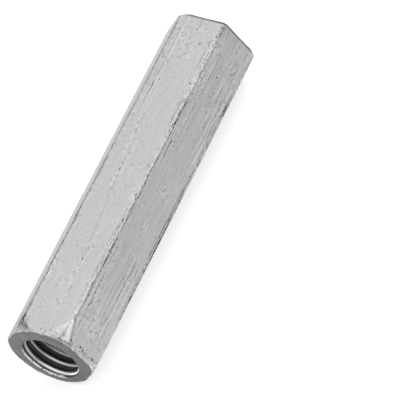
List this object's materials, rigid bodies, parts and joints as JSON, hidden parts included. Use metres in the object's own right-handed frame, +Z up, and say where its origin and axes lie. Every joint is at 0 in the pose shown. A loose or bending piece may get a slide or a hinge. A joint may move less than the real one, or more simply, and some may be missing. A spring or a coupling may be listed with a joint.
{
  "type": "coupling nut",
  "caption": "Long hexagonal coupling nut, threaded right through to join threaded rods end to end, with rounded ridges, chamfered ends and a worn dull grey zinc finish.",
  "frame": {"origin": "on the floor under the middle of the nut, which lies on one of its flats", "axes": "+X along the thread axis towards the front mouth, the end with the knocked corner; +Z up, square to the flat it lies on"},
  "size_m": [0.05, 0.0126, 0.011],
  "materials": {
    "zinc_steel": "dull drawn steel with a thin zinc plating, scuffed along its ridges"
  },
  "bodies": {
    "root": {"coupling_nut": "zinc_steel"}
  },
  "joints": []
}
